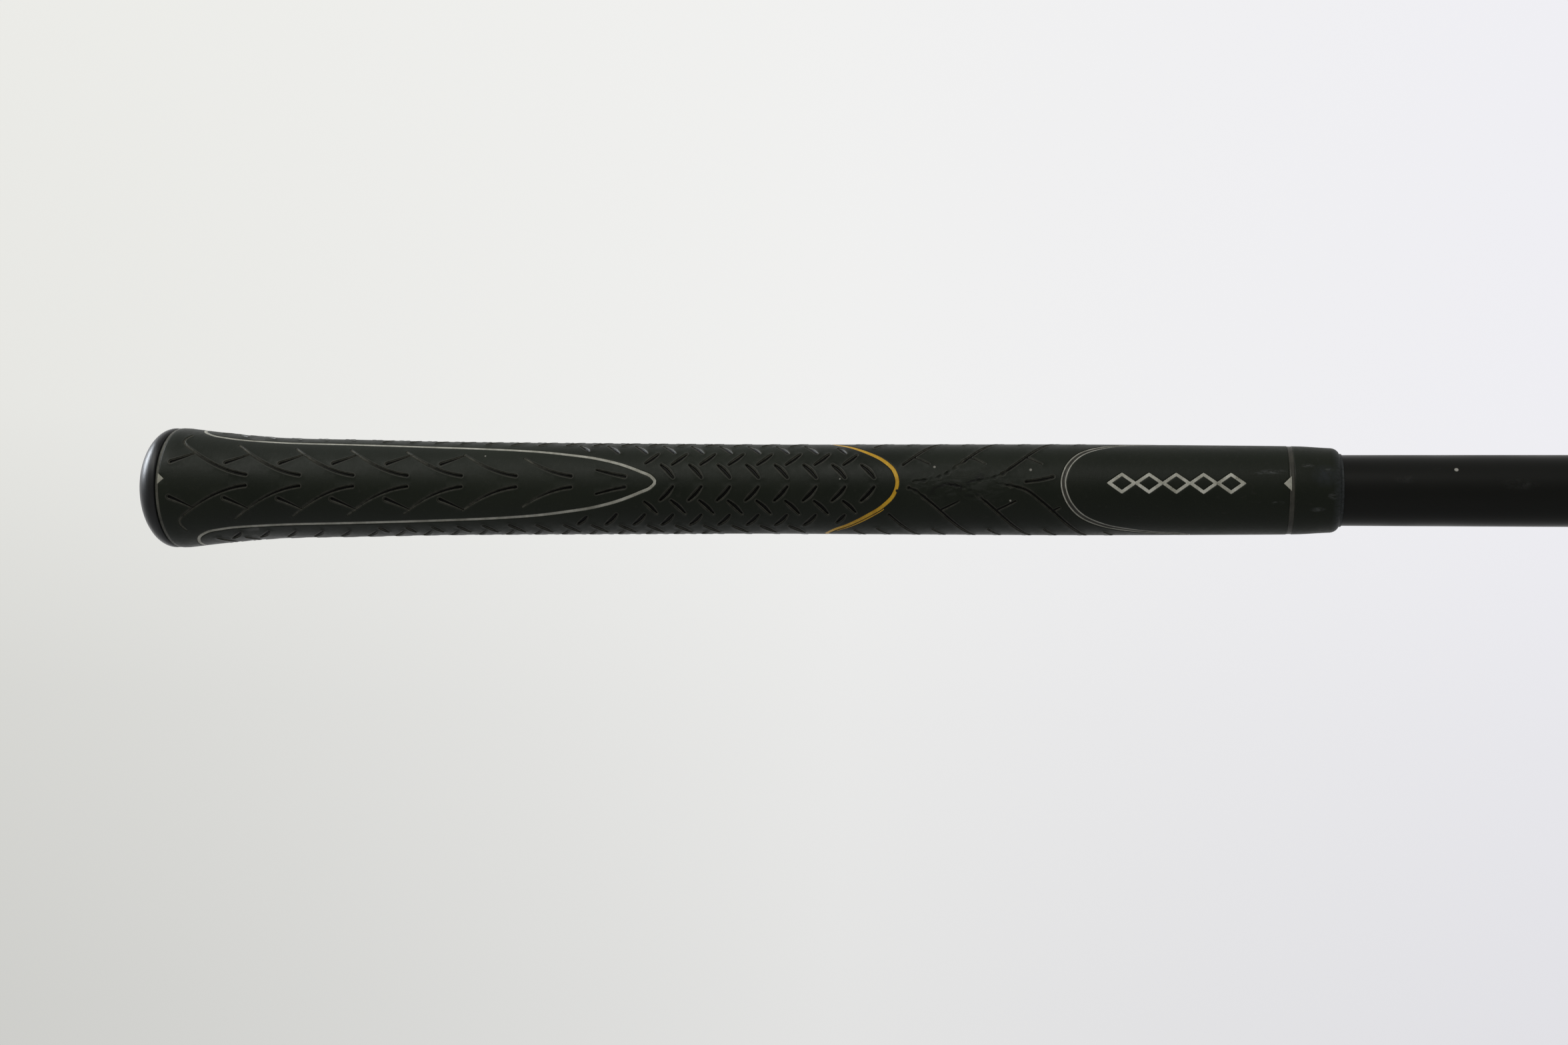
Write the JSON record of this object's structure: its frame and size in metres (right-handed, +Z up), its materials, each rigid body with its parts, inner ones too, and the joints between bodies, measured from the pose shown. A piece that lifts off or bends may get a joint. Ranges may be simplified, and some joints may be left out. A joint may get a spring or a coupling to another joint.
{
  "type": "golf grip",
  "caption": "Round rubber golf grip with a domed vented butt cap, moulded tread and painted alignment marks, taped onto the hollow steel butt section of its shaft.",
  "frame": {"origin": "centre of the shaft's free end, where its bore opens", "axes": "+X along the shaft, away from the butt cap; -Y towards the front centre line with the alignment marks and emblem; +Z up"},
  "size_m": [0.3455, 0.0278, 0.0278],
  "materials": {
    "sleeve_rubber": "matte black rubber with a satin wear sheen",
    "cap_rubber": "smooth satin black rubber",
    "shaft_steel": "glossy black coated steel",
    "grip_tape": "crepe paper tape with adhesive on both faces",
    "cream_paint": "satin cream paint fill, slightly worn",
    "gold_paint": "satin gold paint fill, slightly worn"
  },
  "bodies": {
    "root": {"grip_sleeve": "sleeve_rubber", "butt_cap": "cap_rubber", "shaft_butt_section": "shaft_steel", "grip_tape": "grip_tape", "cap_ring_paint": "cream_paint", "upper_outline_paint": "cream_paint", "gold_outline_paint": "gold_paint", "lower_outline_paint": "cream_paint", "emblem_paint": "cream_paint", "mouth_ring_paint": "cream_paint"}
  },
  "joints": []
}
